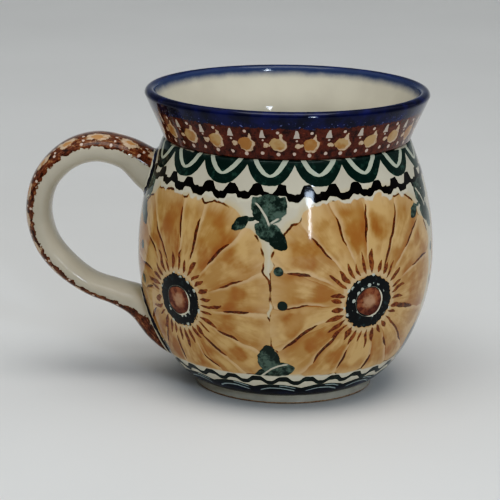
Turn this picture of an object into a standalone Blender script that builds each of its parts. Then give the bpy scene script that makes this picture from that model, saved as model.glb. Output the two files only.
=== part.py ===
"""A round-bellied stoneware mug with a flared collar, a turned foot ring and a pulled strap handle.

Metres, +Z up. The origin is on the table, in the middle of the mug's outline seen from above, so the
turning axis of the vessel stands to the +X side of it and the handle reaches towards -X.
The clay is built up the way a potter assembles it: the belly is a jiggered bowl, the collar is luted on
top of it at the neck crease, the foot ring is luted on below, and the handle is held at each end by a pad
of slip. A slip line of SEAM separates neighbouring pieces.
"""

import math

import bpy
import bmesh
from mathutils import Matrix, Vector

# Driving dimensions of the vessel
HEIGHT = 0.095
RIM_RADIUS = 0.0447
NECK_RADIUS = 0.0388
NECK_HEIGHT = 0.0795
BELLY_RADIUS = 0.0468
BELLY_HEIGHT = 0.0425
FOOT_RADIUS = 0.0281
FOOT_HEIGHT = 0.0028
FOOT_WIDTH = 0.0042
WALL = 0.0036
LIP_RADIUS = 0.0017
FLOOR_HEIGHT = 0.0075
SEAM = 0.0003
FOOT_EASE = 0.0006
FOOT_HOLLOW = 0.0002

# How the wall leaves each of those places: a pull along the curve as (length, degrees above level),
# or the length of an upright pull
FOOT_PULL = (0.0092, 21)
BELLY_PULL_DOWN = 0.0182
BELLY_PULL_UP = 0.0171
NECK_PULL_DOWN = (0.0089, -68)
NECK_PULL_UP = (0.0023, 78)
LIP_PULL = (0.0032, -112)
FLOOR_PULL = 0.030
BOWL_PULL_DOWN = 0.020
INNER_NECK_PULL = (0.0050, 88)
INNER_LIP_PULL = (0.0050, -112)
LIP_ANGLES = range(150, 0, -30)

# Driving dimensions of the handle: the strap's middle line, as distance from the vessel's axis and
# height, with the strap's width across the loop and its thickness in the plane of the loop
HANDLE_STATIONS = (
    (0.0375, 0.0655, 0.0170, 0.0180),
    (0.0431, 0.0683, 0.0168, 0.0132),
    (0.0505, 0.0733, 0.0168, 0.0098),
    (0.0600, 0.0753, 0.0168, 0.0090),
    (0.0690, 0.0723, 0.0166, 0.0087),
    (0.0759, 0.0648, 0.0162, 0.0084),
    (0.0782, 0.0549, 0.0158, 0.0082),
    (0.0760, 0.0451, 0.0154, 0.0080),
    (0.0703, 0.0374, 0.0152, 0.0078),
    (0.0620, 0.0312, 0.0152, 0.0070),
    (0.0530, 0.0279, 0.0158, 0.0076),
    (0.0456, 0.0243, 0.0180, 0.0096),
    (0.0404, 0.0171, 0.0200, 0.0084),
    (0.0356, 0.0116, 0.0170, 0.0054),
    (0.0300, 0.0104, 0.0120, 0.0036),
)
STRAP_SQUARENESS = 0.85
UPPER_ROOT_STATIONS = 3
LOWER_ROOT_STATIONS = 5
SLIP_THICKNESS = 0.0009
SLIP_SPREAD = 0.0010

# Fineness of the solids
TURN_STEPS = 64
CURVE_POINTS = 9
RING_POINTS = 20
RINGS_PER_SPAN = 3

HANDLE_REACH = max(reach + thickness / 2 for reach, _, _, thickness in HANDLE_STATIONS)
AXIS_X = (HANDLE_REACH - BELLY_RADIUS) / 2


def clear_scene():
    for scene_object in list(bpy.data.objects):
        bpy.data.objects.remove(scene_object, do_unlink=True)


def new_collection(name):
    collection = bpy.data.collections.new(name)
    bpy.context.scene.collection.children.link(collection)
    return collection


def glaze(name, colour, roughness):
    material = bpy.data.materials.new(name)
    material.use_nodes = True
    shader = material.node_tree.nodes["Principled BSDF"]
    shader.inputs["Base Color"].default_value = (*colour, 1.0)
    shader.inputs["Roughness"].default_value = roughness
    shader.inputs["Metallic"].default_value = 0.0
    return material


def bezier(start, start_handle, end_handle, end, count=CURVE_POINTS):
    """Points along one cubic Bezier arc in the (radius, height) plane, both ends included."""
    points = []
    for index in range(count):
        t = index / (count - 1)
        weights = ((1 - t) ** 3, 3 * (1 - t) ** 2 * t, 3 * (1 - t) * t * t, t**3)
        corners = (start, start_handle, end_handle, end)
        points.append(tuple(sum(w * c[k] for w, c in zip(weights, corners)) for k in (0, 1)))
    return points


def polar(origin, length, degrees):
    """The point at a length and an angle above horizontal from an origin."""
    angle = math.radians(degrees)
    return (origin[0] + length * math.cos(angle), origin[1] + length * math.sin(angle))


def belly_outline():
    """The belly's outside from the top of the foot ring up to the neck crease."""
    foot = (FOOT_RADIUS + SEAM, FOOT_HEIGHT)
    widest = (BELLY_RADIUS, BELLY_HEIGHT)
    neck = (NECK_RADIUS, NECK_HEIGHT)
    below = (BELLY_RADIUS, BELLY_HEIGHT - BELLY_PULL_DOWN)
    above = (BELLY_RADIUS, BELLY_HEIGHT + BELLY_PULL_UP)
    lower = bezier(foot, polar(foot, *FOOT_PULL), below, widest)
    upper = bezier(widest, above, polar(neck, *NECK_PULL_DOWN), neck)
    return lower + upper[1:]


def collar_outline():
    """The collar's outside from the neck crease up to the start of the rounded lip."""
    neck = (NECK_RADIUS, NECK_HEIGHT)
    lip = (RIM_RADIUS, HEIGHT - LIP_RADIUS)
    return bezier(neck, polar(neck, *NECK_PULL_UP), polar(lip, *LIP_PULL), lip)


def offset(outline, distance):
    """The outline moved outwards along its own normals by a distance."""
    moved = []
    for index, (radius, height) in enumerate(outline):
        before = outline[max(index - 1, 0)]
        after = outline[min(index + 1, len(outline) - 1)]
        run = math.hypot(after[0] - before[0], after[1] - before[1])
        normal = ((after[1] - before[1]) / run, -(after[0] - before[0]) / run)
        moved.append((radius + normal[0] * distance, height + normal[1] * distance))
    return moved


def turned(name, profile, collection, parent, material=None, closed=True):
    """A solid of revolution about the parent's Z axis from a profile that runs down its outer side."""
    mesh = bpy.data.meshes.new(name)
    count = len(profile)
    edges = [(index, index + 1) for index in range(count - 1)]
    if closed:
        edges.append((count - 1, 0))
    mesh.from_pydata([(radius, 0, height) for radius, height in profile], edges, [])
    part = bpy.data.objects.new(name, mesh)
    collection.objects.link(part)
    part.parent = parent
    screw = part.modifiers.new("turn", "SCREW")
    screw.steps = TURN_STEPS
    screw.render_steps = TURN_STEPS
    screw.use_merge_vertices = True
    screw.merge_threshold = 0.00001
    screw.use_smooth_shade = True
    if material:
        part.data.materials.append(material)
    return part


def make_belly(collection, parent, material):
    """The bowl: an outside wall up to the neck and a hollow with a rounded floor."""
    outside = belly_outline()
    top = NECK_HEIGHT - SEAM / 2
    under = FOOT_HEIGHT + SEAM
    outside[0] = (outside[0][0], under)
    outside[-1] = (outside[-1][0], top)
    neck_inside = (NECK_RADIUS - WALL, top)
    widest_inside = (BELLY_RADIUS - WALL, BELLY_HEIGHT)
    below = (widest_inside[0], BELLY_HEIGHT - BOWL_PULL_DOWN)
    above = (widest_inside[0], BELLY_HEIGHT + BELLY_PULL_UP)
    floor = bezier((0.0, FLOOR_HEIGHT), (FLOOR_PULL, FLOOR_HEIGHT), below, widest_inside)
    shoulder = bezier(widest_inside, above, polar(neck_inside, *NECK_PULL_DOWN), neck_inside)
    profile = floor + shoulder[1:] + outside[::-1] + [(0.0, under)]
    return turned("belly", profile, collection, parent, material, closed=False)


def make_collar(collection, parent, material):
    """The flared collar with its half-round lip."""
    outside = collar_outline()
    bottom = NECK_HEIGHT + SEAM / 2
    outside[0] = (outside[0][0], bottom)
    lip_centre = (RIM_RADIUS - LIP_RADIUS, HEIGHT - LIP_RADIUS)
    lip = [polar(lip_centre, LIP_RADIUS, angle) for angle in LIP_ANGLES]
    neck_inside = (NECK_RADIUS - WALL, bottom)
    lip_inside = (RIM_RADIUS - 2 * LIP_RADIUS, HEIGHT - LIP_RADIUS)
    above_neck = polar(neck_inside, *INNER_NECK_PULL)
    inside = bezier(neck_inside, above_neck, polar(lip_inside, *INNER_LIP_PULL), lip_inside)
    return turned("collar", inside + lip + outside[::-1], collection, parent, material)


def make_foot_ring(collection, parent, material):
    """The trimmed ring that the mug stands on, with both lower edges eased."""
    top = FOOT_HEIGHT - SEAM / 2
    inner = FOOT_RADIUS - FOOT_WIDTH
    profile = [
        (inner, top),
        (FOOT_RADIUS, top),
        (FOOT_RADIUS - FOOT_HOLLOW, FOOT_HEIGHT / 2),
        (FOOT_RADIUS, FOOT_EASE),
        (FOOT_RADIUS - FOOT_EASE, 0.0),
        (inner + FOOT_EASE, 0.0),
        (inner, FOOT_EASE),
    ]
    return turned("foot_ring", profile, collection, parent, material)


def catmull_rom(rows, span, t):
    """The row between rows[span] and rows[span + 1] on a smooth curve through all the rows."""
    last = len(rows) - 1
    picked = [rows[min(max(span + step, 0), last)] for step in (-1, 0, 1, 2)]
    weights = (
        (-t + 2 * t * t - t**3) / 2,
        (2 - 5 * t * t + 3 * t**3) / 2,
        (t + 4 * t * t - 3 * t**3) / 2,
        (-t * t + t**3) / 2,
    )
    return [sum(w * row[k] for w, row in zip(weights, picked)) for k in range(len(rows[0]))]


def squared(value):
    """A cosine or sine pushed outwards, which fills the strap's section out a little beyond an ellipse."""
    return math.copysign(abs(value) ** STRAP_SQUARENESS, value)


def strap_ring(bm, reach, height, width, thickness, heading):
    """One rounded section of the strap, square to its middle line."""
    normal = Vector((heading.z, 0, -heading.x))
    ring = []
    for index in range(RING_POINTS):
        angle = 2 * math.pi * index / RING_POINTS
        across = squared(math.cos(angle)) * width / 2
        along = squared(math.sin(angle)) * thickness / 2
        centre = Vector((-reach, 0, height))
        ring.append(bm.verts.new(centre + normal * along + Vector((0, across, 0))))
    return ring


def strap(name, stations, collection, parent, material=None):
    """A closed strap lofted through sections of changing width and thickness."""
    rows = [
        catmull_rom(stations, span, step / RINGS_PER_SPAN)
        for span in range(len(stations) - 1)
        for step in range(RINGS_PER_SPAN)
    ]
    rows.append(list(stations[-1]))
    bm = bmesh.new()
    rings = []
    for index, (reach, height, width, thickness) in enumerate(rows):
        before = rows[max(index - 1, 0)]
        after = rows[min(index + 1, len(rows) - 1)]
        heading = Vector((before[0] - after[0], 0, after[1] - before[1])).normalized()
        rings.append(strap_ring(bm, reach, height, width, thickness, heading))
    for ring, following in zip(rings, rings[1:]):
        for index in range(RING_POINTS):
            neighbour = (index + 1) % RING_POINTS
            bm.faces.new((ring[index], ring[neighbour], following[neighbour], following[index]))
    bm.faces.new(rings[0][::-1])
    bm.faces.new(rings[-1])
    bmesh.ops.recalc_face_normals(bm, faces=bm.faces)
    mesh = bpy.data.meshes.new(name)
    bm.to_mesh(mesh)
    bm.free()
    mesh.shade_smooth()
    part = bpy.data.objects.new(name, mesh)
    collection.objects.link(part)
    part.parent = parent
    if material:
        part.data.materials.append(material)
    return part


def body_envelope(name, distance, collection, parent):
    """The whole vessel as a solid plug, grown outwards by a distance."""
    skin = offset(belly_outline()[1:], distance)
    profile = [(0.0, HEIGHT), (NECK_RADIUS + distance, HEIGHT)] + skin[::-1]
    profile += [(FOOT_RADIUS, 0.0), (0.0, 0.0)]
    plug = turned(name, profile, collection, parent, closed=False)
    plug.hide_render = True
    plug.display_type = "WIRE"
    return plug


def boolean(part, operation, other):
    modifier = part.modifiers.new(operation.lower(), "BOOLEAN")
    modifier.operation = operation
    modifier.solver = "EXACT"
    modifier.object = other


def grown(stations):
    """The stations of a root with the slip's spread added all round."""
    return [(reach, height, w + 2 * SLIP_SPREAD, t + 2 * SLIP_SPREAD) for reach, height, w, t in stations]


def make_handle(collection, parent, material, cutter):
    handle = strap("handle", HANDLE_STATIONS, collection, parent, material)
    boolean(handle, "DIFFERENCE", cutter)
    return handle


def make_slip_pad(name, stations, collection, parent, material, inner, outer):
    """The layer of slip between the belly and one end of the handle, squeezed out a little all round."""
    pad = strap(name, grown(stations), collection, parent, material)
    boolean(pad, "INTERSECT", outer)
    boolean(pad, "DIFFERENCE", inner)
    return pad


def main():
    clear_scene()
    parts = new_collection("stoneware_mug")
    helpers = new_collection("cutters")
    axis = bpy.data.objects.new("vessel_axis", None)
    axis.matrix_world = Matrix.Translation((AXIS_X, 0, 0))
    parts.objects.link(axis)

    ochre = glaze("ochre flower glaze", (0.50, 0.28, 0.10), 0.12)
    brown = glaze("brown stamped glaze", (0.10, 0.030, 0.016), 0.12)
    cream = glaze("cream foot", (0.42, 0.38, 0.30), 0.45)
    strap_glaze = glaze("brown and cream strap glaze", (0.22, 0.12, 0.07), 0.14)
    slip = glaze("slip under glaze", (0.30, 0.27, 0.22), 0.2)

    make_belly(parts, axis, ochre)
    make_collar(parts, axis, brown)
    make_foot_ring(parts, axis, cream)

    pad_inner = body_envelope("pad_inner_cutter", SEAM, helpers, axis)
    pad_outer = body_envelope("pad_outer_cutter", SEAM + SLIP_THICKNESS, helpers, axis)
    handle_end = body_envelope("handle_end_cutter", 2 * SEAM + SLIP_THICKNESS, helpers, axis)
    make_handle(parts, axis, strap_glaze, handle_end)
    upper = HANDLE_STATIONS[:UPPER_ROOT_STATIONS]
    lower = HANDLE_STATIONS[-LOWER_ROOT_STATIONS:]
    make_slip_pad("upper_handle_joint", upper, parts, axis, slip, pad_inner, pad_outer)
    make_slip_pad("lower_handle_joint", lower, parts, axis, slip, pad_inner, pad_outer)


main()
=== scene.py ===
"""Looks for a hand-painted, round-bellied stoneware mug: fine meshes and procedural glaze paintings.

Lengths in this script are millimetres and angles are degrees unless a name says otherwise. An angle round
the vessel is 0 at the side that faces -Y, +90 at +X and -90 at the handle. Heights of painted bands are
measured along the outside wall from the table, and every vessel mesh carries that length as "along".
"""

import math

import bpy
import numpy as np
from mathutils import Matrix, Vector


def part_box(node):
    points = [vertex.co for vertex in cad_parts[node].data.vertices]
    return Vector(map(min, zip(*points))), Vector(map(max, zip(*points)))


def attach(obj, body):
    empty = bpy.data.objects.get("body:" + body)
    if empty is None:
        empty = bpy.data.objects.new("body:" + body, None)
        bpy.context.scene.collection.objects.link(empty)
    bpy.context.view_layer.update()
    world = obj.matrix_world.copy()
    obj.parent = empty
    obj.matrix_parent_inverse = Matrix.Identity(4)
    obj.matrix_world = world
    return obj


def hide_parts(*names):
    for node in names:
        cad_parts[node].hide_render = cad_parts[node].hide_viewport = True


MM = 0.001

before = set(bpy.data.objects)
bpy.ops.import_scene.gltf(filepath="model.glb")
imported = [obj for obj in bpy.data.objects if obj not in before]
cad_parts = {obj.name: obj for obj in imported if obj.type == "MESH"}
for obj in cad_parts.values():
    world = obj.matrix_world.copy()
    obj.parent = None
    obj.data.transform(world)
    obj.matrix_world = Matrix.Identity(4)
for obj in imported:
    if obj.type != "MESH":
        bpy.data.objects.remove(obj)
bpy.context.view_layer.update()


# ---------------------------------------------------------------- sizes read from the frame

belly_low, belly_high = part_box("belly")
collar_low, collar_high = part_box("collar")
foot_low, foot_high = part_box("foot_ring")

SEAM = (collar_low[2] - belly_high[2]) / MM
AXIS_X = (belly_low[0] + belly_high[0]) / 2 / MM
HEIGHT = collar_high[2] / MM
RIM_RADIUS = (collar_high[0] - collar_low[0]) / 2 / MM
BELLY_RADIUS = (belly_high[0] - belly_low[0]) / 2 / MM
NECK_HEIGHT = belly_high[2] / MM + SEAM / 2
FOOT_RADIUS = (foot_high[0] - foot_low[0]) / 2 / MM
FOOT_HEIGHT = foot_high[2] / MM + SEAM / 2

# The rest of the profile repeats the design of the solids
NECK_RADIUS = 38.8
BELLY_HEIGHT = 42.5
FOOT_WIDTH = 4.2
WALL = 3.6
LIP_RADIUS = 1.7
FLOOR_HEIGHT = 7.5

# How the wall leaves each of those places: a pull along the curve as (length, degrees above level),
# or the length of an upright or level pull
FOOT_PULL = (9.2, 21)
BELLY_PULL_DOWN = 18.2
BELLY_PULL_UP = 17.1
NECK_PULL_DOWN = (8.9, -68)
NECK_PULL_UP = (2.3, 78)
LIP_PULL = (3.2, -112)
FLOOR_PULL = 30
BOWL_PULL_DOWN = 20
INNER_NECK_PULL = (5, 88)
INNER_LIP_PULL = (5, -112)

# Softer edges than the solids have: how far the wall draws in at the crease and over what length,
# the foot ring's rounded edge, and how far the underside is domed
BELLY_EASE, BELLY_EASE_LENGTH = 0.35, 0.9
COLLAR_EASE, COLLAR_EASE_LENGTH = 0.30, 0.7
FOOT_EDGE = 0.55
UNDERSIDE_RADIUS = 25.0
UNDERSIDE_RISE = 0.7

# How finely the turned pieces and the strap are divided, and how far a turned wall wanders
TURNS = 216
WOBBLE = 0.1
STRAP_STEPS = 12
STRAP_ROUND = 64

# Middle line of the strap handle: distance from the axis, height, width, thickness
STRAP_STATIONS = (
    (37.5, 65.5, 17.0, 18.0),
    (43.1, 68.3, 16.8, 13.2),
    (50.5, 73.3, 16.8, 9.8),
    (60.0, 75.3, 16.8, 9.0),
    (69.0, 72.3, 16.6, 8.7),
    (75.9, 64.8, 16.2, 8.4),
    (78.2, 54.9, 15.8, 8.2),
    (76.0, 45.1, 15.4, 8.0),
    (70.3, 37.4, 15.2, 7.8),
    (62.0, 31.2, 15.2, 7.0),
    (53.0, 27.9, 15.8, 7.6),
    (45.6, 24.3, 18.0, 9.6),
    (40.4, 17.1, 20.0, 8.4),
    (35.6, 11.6, 17.0, 5.4),
    (30.0, 10.4, 12.0, 3.6),
)
STRAP_SQUARENESS = 0.85
STRAP_SUNK = 1.8

# Where the brown ends on the strap's side, from 0 at its middle to 1 at its crest, and how far along
# the strap the brown is at its widest
STRAP_PAINT_EDGE = 0.24
STRAP_TAIL = 112.0


# ---------------------------------------------------------------- profile of the vessel


def bezier(start, start_handle, end_handle, end, count):
    t = np.linspace(0, 1, count)[:, None]
    corners = [np.array(corner, float) for corner in (start, start_handle, end_handle, end)]
    weights = ((1 - t) ** 3, 3 * (1 - t) ** 2 * t, 3 * (1 - t) * t * t, t**3)
    return sum(weight * corner for weight, corner in zip(weights, corners))


def polar(origin, length, degrees):
    angle = math.radians(degrees)
    return (origin[0] + length * math.cos(angle), origin[1] + length * math.sin(angle))


def arc(centre, radius, start, end, count):
    return np.array([polar(centre, radius, angle) for angle in np.linspace(start, end, count)])


def belly_outline():
    """The outside from the top of the foot ring up to the neck crease."""
    foot = (FOOT_RADIUS + SEAM, FOOT_HEIGHT)
    widest = (BELLY_RADIUS, BELLY_HEIGHT)
    neck = (NECK_RADIUS, NECK_HEIGHT)
    below = (BELLY_RADIUS, BELLY_HEIGHT - BELLY_PULL_DOWN)
    above = (BELLY_RADIUS, BELLY_HEIGHT + BELLY_PULL_UP)
    lower = bezier(foot, polar(foot, *FOOT_PULL), below, widest, 44)
    upper = bezier(widest, above, polar(neck, *NECK_PULL_DOWN), neck, 44)
    return np.vstack([lower, upper[1:]])


def collar_outline():
    """The outside from the neck crease up to the rounded lip."""
    neck = (NECK_RADIUS, NECK_HEIGHT)
    lip = (RIM_RADIUS, HEIGHT - LIP_RADIUS)
    return bezier(neck, polar(neck, *NECK_PULL_UP), polar(lip, *LIP_PULL), lip, 28)


def lengths(points):
    """Distance walked along a row of points, starting at 0."""
    return np.concatenate([[0], np.cumsum(np.linalg.norm(np.diff(points, axis=0), axis=1))])


OUTLINE = belly_outline()
CREASE = FOOT_HEIGHT + lengths(OUTLINE)[-1]
LIP_START = CREASE + lengths(collar_outline())[-1]

# What "along" says on the belly's inside and on faces that look down at the table
INSIDE = 200.0
UNDERNEATH = -10.0


# ---------------------------------------------------------------- mesh building


def new_piece(name, vertices, faces, attributes, node):
    """A smooth mesh in the frame's metres, with named point attributes, standing in for a CAD node."""
    mesh = bpy.data.meshes.new(name)
    mesh.from_pydata((np.asarray(vertices) * MM).tolist(), [], faces)
    for label, values in attributes.items():
        values = np.asarray(values, np.float32)
        kind = "FLOAT" if values.ndim == 1 else "FLOAT_VECTOR"
        layer = mesh.attributes.new(label, kind, "POINT")
        layer.data.foreach_set("value" if values.ndim == 1 else "vector", values.ravel())
    mesh.validate()
    mesh.shade_smooth()
    piece = bpy.data.objects.new(name, mesh)
    bpy.context.scene.collection.objects.link(piece)
    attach(piece, "root")
    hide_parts(node)
    return piece


def hand_wobble(turn, height, size):
    """The slight unevenness that a potter's hands leave, as a radial offset."""
    return size * (0.5 * np.sin(3 * turn + 0.06 * height) + 0.3 * np.sin(5 * turn - 0.09 * height + 1.3))


def lathe(name, profile, along, node, closed):
    """A turned body from a profile of (radius, height) rows that runs up the inside and down the outside."""
    vertices, values, rings = [], [], []
    for (radius, height), length in zip(profile, along):
        if radius < 1e-6:
            rings.append([len(vertices)] * TURNS)
            vertices.append((AXIS_X, 0, height))
            values.append(length)
            continue
        rings.append(list(range(len(vertices), len(vertices) + TURNS)))
        for index in range(TURNS):
            turn = 2 * math.pi * index / TURNS
            reach = radius + hand_wobble(turn, height, WOBBLE) * min(radius / FOOT_RADIUS, 1)
            vertices.append((AXIS_X + reach * math.sin(turn), -reach * math.cos(turn), height))
            values.append(length)
    faces = []
    pairs = list(zip(rings, rings[1:] + rings[:1])) if closed else list(zip(rings, rings[1:]))
    for ring, following in pairs:
        for index in range(TURNS):
            after = (index + 1) % TURNS
            corners = [ring[index], following[index], following[after], ring[after]]
            faces.append(list(dict.fromkeys(corners)))
    return new_piece(name, vertices, faces, {"along": values}, node)


def make_belly():
    """The bowl, with an eased shoulder under the crease, a rounded floor and a slightly domed underside."""
    outside = OUTLINE[::-1].copy()
    outside_along = FOOT_HEIGHT + lengths(OUTLINE)[::-1]
    near_crease = np.clip(1 - (CREASE - outside_along) / BELLY_EASE_LENGTH, 0, 1)
    outside[:, 0] -= BELLY_EASE * near_crease**2

    neck = (NECK_RADIUS - WALL, NECK_HEIGHT)
    widest = (BELLY_RADIUS - WALL, BELLY_HEIGHT)
    below = (widest[0], BELLY_HEIGHT - BOWL_PULL_DOWN)
    above = (widest[0], BELLY_HEIGHT + BELLY_PULL_UP)
    floor = bezier((0, FLOOR_HEIGHT), (FLOOR_PULL, FLOOR_HEIGHT), below, widest, 40)
    shoulder = bezier(widest, above, polar(neck, *NECK_PULL_DOWN), neck, 30)
    inside = np.vstack([floor, shoulder[1:]])

    edge = (UNDERSIDE_RADIUS, FOOT_HEIGHT)
    rising = (UNDERSIDE_RADIUS - 3, FOOT_HEIGHT + 0.5)
    domed = FOOT_HEIGHT + UNDERSIDE_RISE
    underside = bezier(edge, rising, (10, domed), (0, domed), 10)
    profile = np.vstack([inside, outside, underside])
    hidden = np.full(len(underside), UNDERNEATH)
    along = np.concatenate([np.full(len(inside), INSIDE), outside_along, hidden])
    return lathe("belly_glazed", profile, along, "belly", closed=False)


def make_collar():
    """The flared collar: eased at the crease, with a half-round lip."""
    outside = collar_outline()
    outside_along = CREASE + lengths(outside)
    near_crease = np.clip(1 - (outside_along - CREASE) / COLLAR_EASE_LENGTH, 0, 1)
    outside[:, 0] -= COLLAR_EASE * near_crease**2
    lip_centre = (RIM_RADIUS - LIP_RADIUS, HEIGHT - LIP_RADIUS)
    lip = arc(lip_centre, LIP_RADIUS, 0, 180, 17)[1:-1]
    lip_inside = (RIM_RADIUS - 2 * LIP_RADIUS, HEIGHT - LIP_RADIUS)
    neck = (NECK_RADIUS - WALL, NECK_HEIGHT)
    inside = bezier(lip_inside, polar(lip_inside, *INNER_LIP_PULL), polar(neck, *INNER_NECK_PULL), neck, 24)
    profile = np.vstack([outside, lip, inside])
    along = CREASE + lengths(profile)
    return lathe("collar_glazed", profile[::-1], along[::-1], "collar", closed=True)


def make_foot_ring():
    """The turned ring, with rounded edges and a slightly hollow outer side."""
    inner = FOOT_RADIUS - FOOT_WIDTH
    edge = FOOT_EDGE
    top = (FOOT_RADIUS + SEAM, FOOT_HEIGHT)
    hollow_top, hollow_bottom = (FOOT_RADIUS - 0.3, 2.1), (FOOT_RADIUS - 0.25, 1.2)
    outer_side = bezier(top, hollow_top, hollow_bottom, (FOOT_RADIUS, edge), 10)
    outer_edge = arc((FOOT_RADIUS - edge, edge), edge, 0, -90, 7)[1:]
    inner_edge = arc((inner + edge, edge), edge, -90, -180, 7)
    profile = np.vstack([outer_side, outer_edge, inner_edge, [(inner - 0.4, FOOT_HEIGHT)]])
    along = np.concatenate([outer_side[:, 1], np.full(len(profile) - len(outer_side), 0.0)])
    along[-1] = UNDERNEATH
    return lathe("foot_ring_trimmed", profile, along, "foot_ring", closed=True)


# ---------------------------------------------------------------- handle


def smooth_rows(rows, per_span):
    """Rows on a smooth curve through all the given rows."""
    rows = np.array(rows, float)
    padded = np.vstack([2 * rows[0] - rows[1], rows, 2 * rows[-1] - rows[-2]])
    result = []
    for span in range(len(rows) - 1):
        a, b, c, d = padded[span : span + 4]
        for t in np.arange(per_span) / per_span:
            ahead = (c - a) * t + (2 * a - 5 * b + 4 * c - d) * t**2 + (3 * b - a - 3 * c + d) * t**3
            result.append(b + ahead / 2)
    result.append(rows[-1])
    return np.array(result)


def squared(value):
    """A sine or cosine bent towards a rounded oblong."""
    return np.sign(value) * np.abs(value) ** STRAP_SQUARENESS


def strap_surface():
    """Points of the strap as rings[station][angle], with the middle line's length at each station."""
    rows = smooth_rows(STRAP_STATIONS, STRAP_STEPS)
    middle = rows[:, :2]
    heading = np.gradient(middle, axis=0)
    heading /= np.linalg.norm(heading, axis=1)[:, None]
    # The crest of the strap looks away from the loop: up over the top, down under the bottom
    outward = np.stack([-heading[:, 1], heading[:, 0]], axis=1)
    outward *= np.sign(outward[:1, 1])
    angle = 2 * np.pi * np.arange(STRAP_ROUND) / STRAP_ROUND
    crest = squared(np.cos(angle)) * rows[:, 3:4] / 2
    side = squared(np.sin(angle)) * rows[:, 2:3] / 2
    reach = middle[:, 0:1] + outward[:, 0:1] * crest
    height = middle[:, 1:2] + outward[:, 1:2] * crest
    rings = np.stack([AXIS_X - reach, side, height], axis=2)
    return rings, lengths(middle), angle


def make_handle():
    """The strap, its ends sunk in the wall. "strap" says length, place across and 1 at the crest."""
    rings, length, angle = strap_surface()
    rings = sink_into_wall(rings, STRAP_SUNK)
    count, around = rings.shape[:2]
    lengthwise = np.repeat(length[:, None], around, 1)
    crestwise = np.repeat(np.cos(angle)[None], count, 0)
    strap = np.stack([lengthwise, rings[:, :, 1], crestwise], axis=2).reshape(-1, 3)
    faces = []
    for station in range(count - 1):
        low, high = station * around, (station + 1) * around
        for index in range(around):
            after = (index + 1) % around
            faces.append([low + index, low + after, high + after, high + index])
    faces.append(list(range(around))[::-1])
    faces.append([(count - 1) * around + index for index in range(around)])
    return new_piece("handle_glazed", rings.reshape(-1, 3), faces, {"strap": strap}, "handle")


def wall_radius(height):
    return np.interp(height, OUTLINE[:, 1], OUTLINE[:, 0])


def wall_normal(point):
    """Direction straight out of the outside wall nearest a point."""
    slope = (wall_radius(point[2] + 0.2) - wall_radius(point[2] - 0.2)) / 0.4
    sideways = np.array([point[0] - AXIS_X, point[1]])
    sideways /= np.linalg.norm(sideways)
    normal = np.array([sideways[0], sideways[1], -slope])
    return normal / np.linalg.norm(normal)


def height_over_wall(points):
    """How far points lie outside the wall, measured level."""
    return np.hypot(points[..., 0] - AXIS_X, points[..., 1]) - wall_radius(points[..., 2])


def sink_into_wall(rings, deepest):
    """Rings with every point that lies too deep in the wall moved level out to the given depth."""
    sunk = rings.copy()
    aside = rings[..., :2] - np.array([AXIS_X, 0])
    reach = np.linalg.norm(aside, axis=-1)
    allowed = wall_radius(rings[..., 2]) - deepest
    scale = np.maximum(allowed / reach, 1)
    sunk[..., :2] = aside * scale[..., None] + np.array([AXIS_X, 0])
    return sunk


def seam_ring(rings):
    """Where the strap's surface passes through the wall: the points, and the strap's outward normals."""
    outside = height_over_wall(rings) > 0
    points, normals = [], []
    for column in range(rings.shape[1]):
        last_inside = int(np.argmax(outside[:, column])) - 1
        near, far = rings[last_inside, column], rings[last_inside + 1, column]
        near_depth, far_depth = height_over_wall(np.array([near, far]))
        points.append(near + (far - near) * (-near_depth / (far_depth - near_depth)))
        before = rings[last_inside, column - 1]
        after = rings[last_inside, (column + 1) % rings.shape[1]]
        normal = np.cross(after - before, far - near)
        centre = rings[last_inside].mean(axis=0)
        normal *= np.sign(np.dot(normal, near - centre))
        normals.append(normal / np.linalg.norm(normal))
    return np.array(points), np.array(normals)


def make_joint(name, rings, node, spread):
    """A band of slip smoothed round the end of the strap, hollow like a wiped finger line."""
    points, strap_normals = seam_ring(rings)
    count, section = len(points), 9
    vertices, across = [], []
    for point, strap_normal in zip(points, strap_normals):
        normal = wall_normal(point)
        cosine = float(np.dot(normal, strap_normal))
        along_wall = strap_normal - cosine * normal
        along_strap = normal - cosine * strap_normal
        along_wall /= np.linalg.norm(along_wall)
        along_strap /= np.linalg.norm(along_strap)
        on_wall = point + along_wall * spread + normal * 0.03
        on_strap = point + along_strap * spread + strap_normal * 0.03
        corner = point + (along_wall + along_strap) * spread * 0.12
        for t in np.linspace(0, 1, section - 1):
            vertices.append((1 - t) ** 2 * on_wall + 2 * t * (1 - t) * corner + t * t * on_strap)
            across.append(t)
        vertices.append(point - (normal + strap_normal) * 0.7)
        across.append(0.5)
    faces = []
    for index in range(count):
        low, high = index * section, (index + 1) % count * section
        for part in range(section):
            after = (part + 1) % section
            faces.append([low + part, low + after, high + after, high + part])
    return new_piece(name, vertices, faces, {"across": across}, node)


# ---------------------------------------------------------------- shader arithmetic


class Wire:
    """A number or colour on a shader's wire. Arithmetic on it adds Math nodes to the material."""

    tree = None

    def __init__(self, socket):
        self.socket = socket

    def __add__(self, other):
        return sums("ADD", self, other)

    def __radd__(self, other):
        return sums("ADD", other, self)

    def __sub__(self, other):
        return sums("SUBTRACT", self, other)

    def __rsub__(self, other):
        return sums("SUBTRACT", other, self)

    def __mul__(self, other):
        return sums("MULTIPLY", self, other)

    def __rmul__(self, other):
        return sums("MULTIPLY", other, self)

    def __truediv__(self, other):
        return sums("DIVIDE", self, other)

    def __rtruediv__(self, other):
        return sums("DIVIDE", other, self)

    def __pow__(self, other):
        return sums("POWER", self, other)

    def __neg__(self):
        return sums("MULTIPLY", self, -1.0)


def add_node(kind, **settings):
    node = Wire.tree.nodes.new(kind)
    for key, value in settings.items():
        setattr(node, key, value)
    return node


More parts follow.
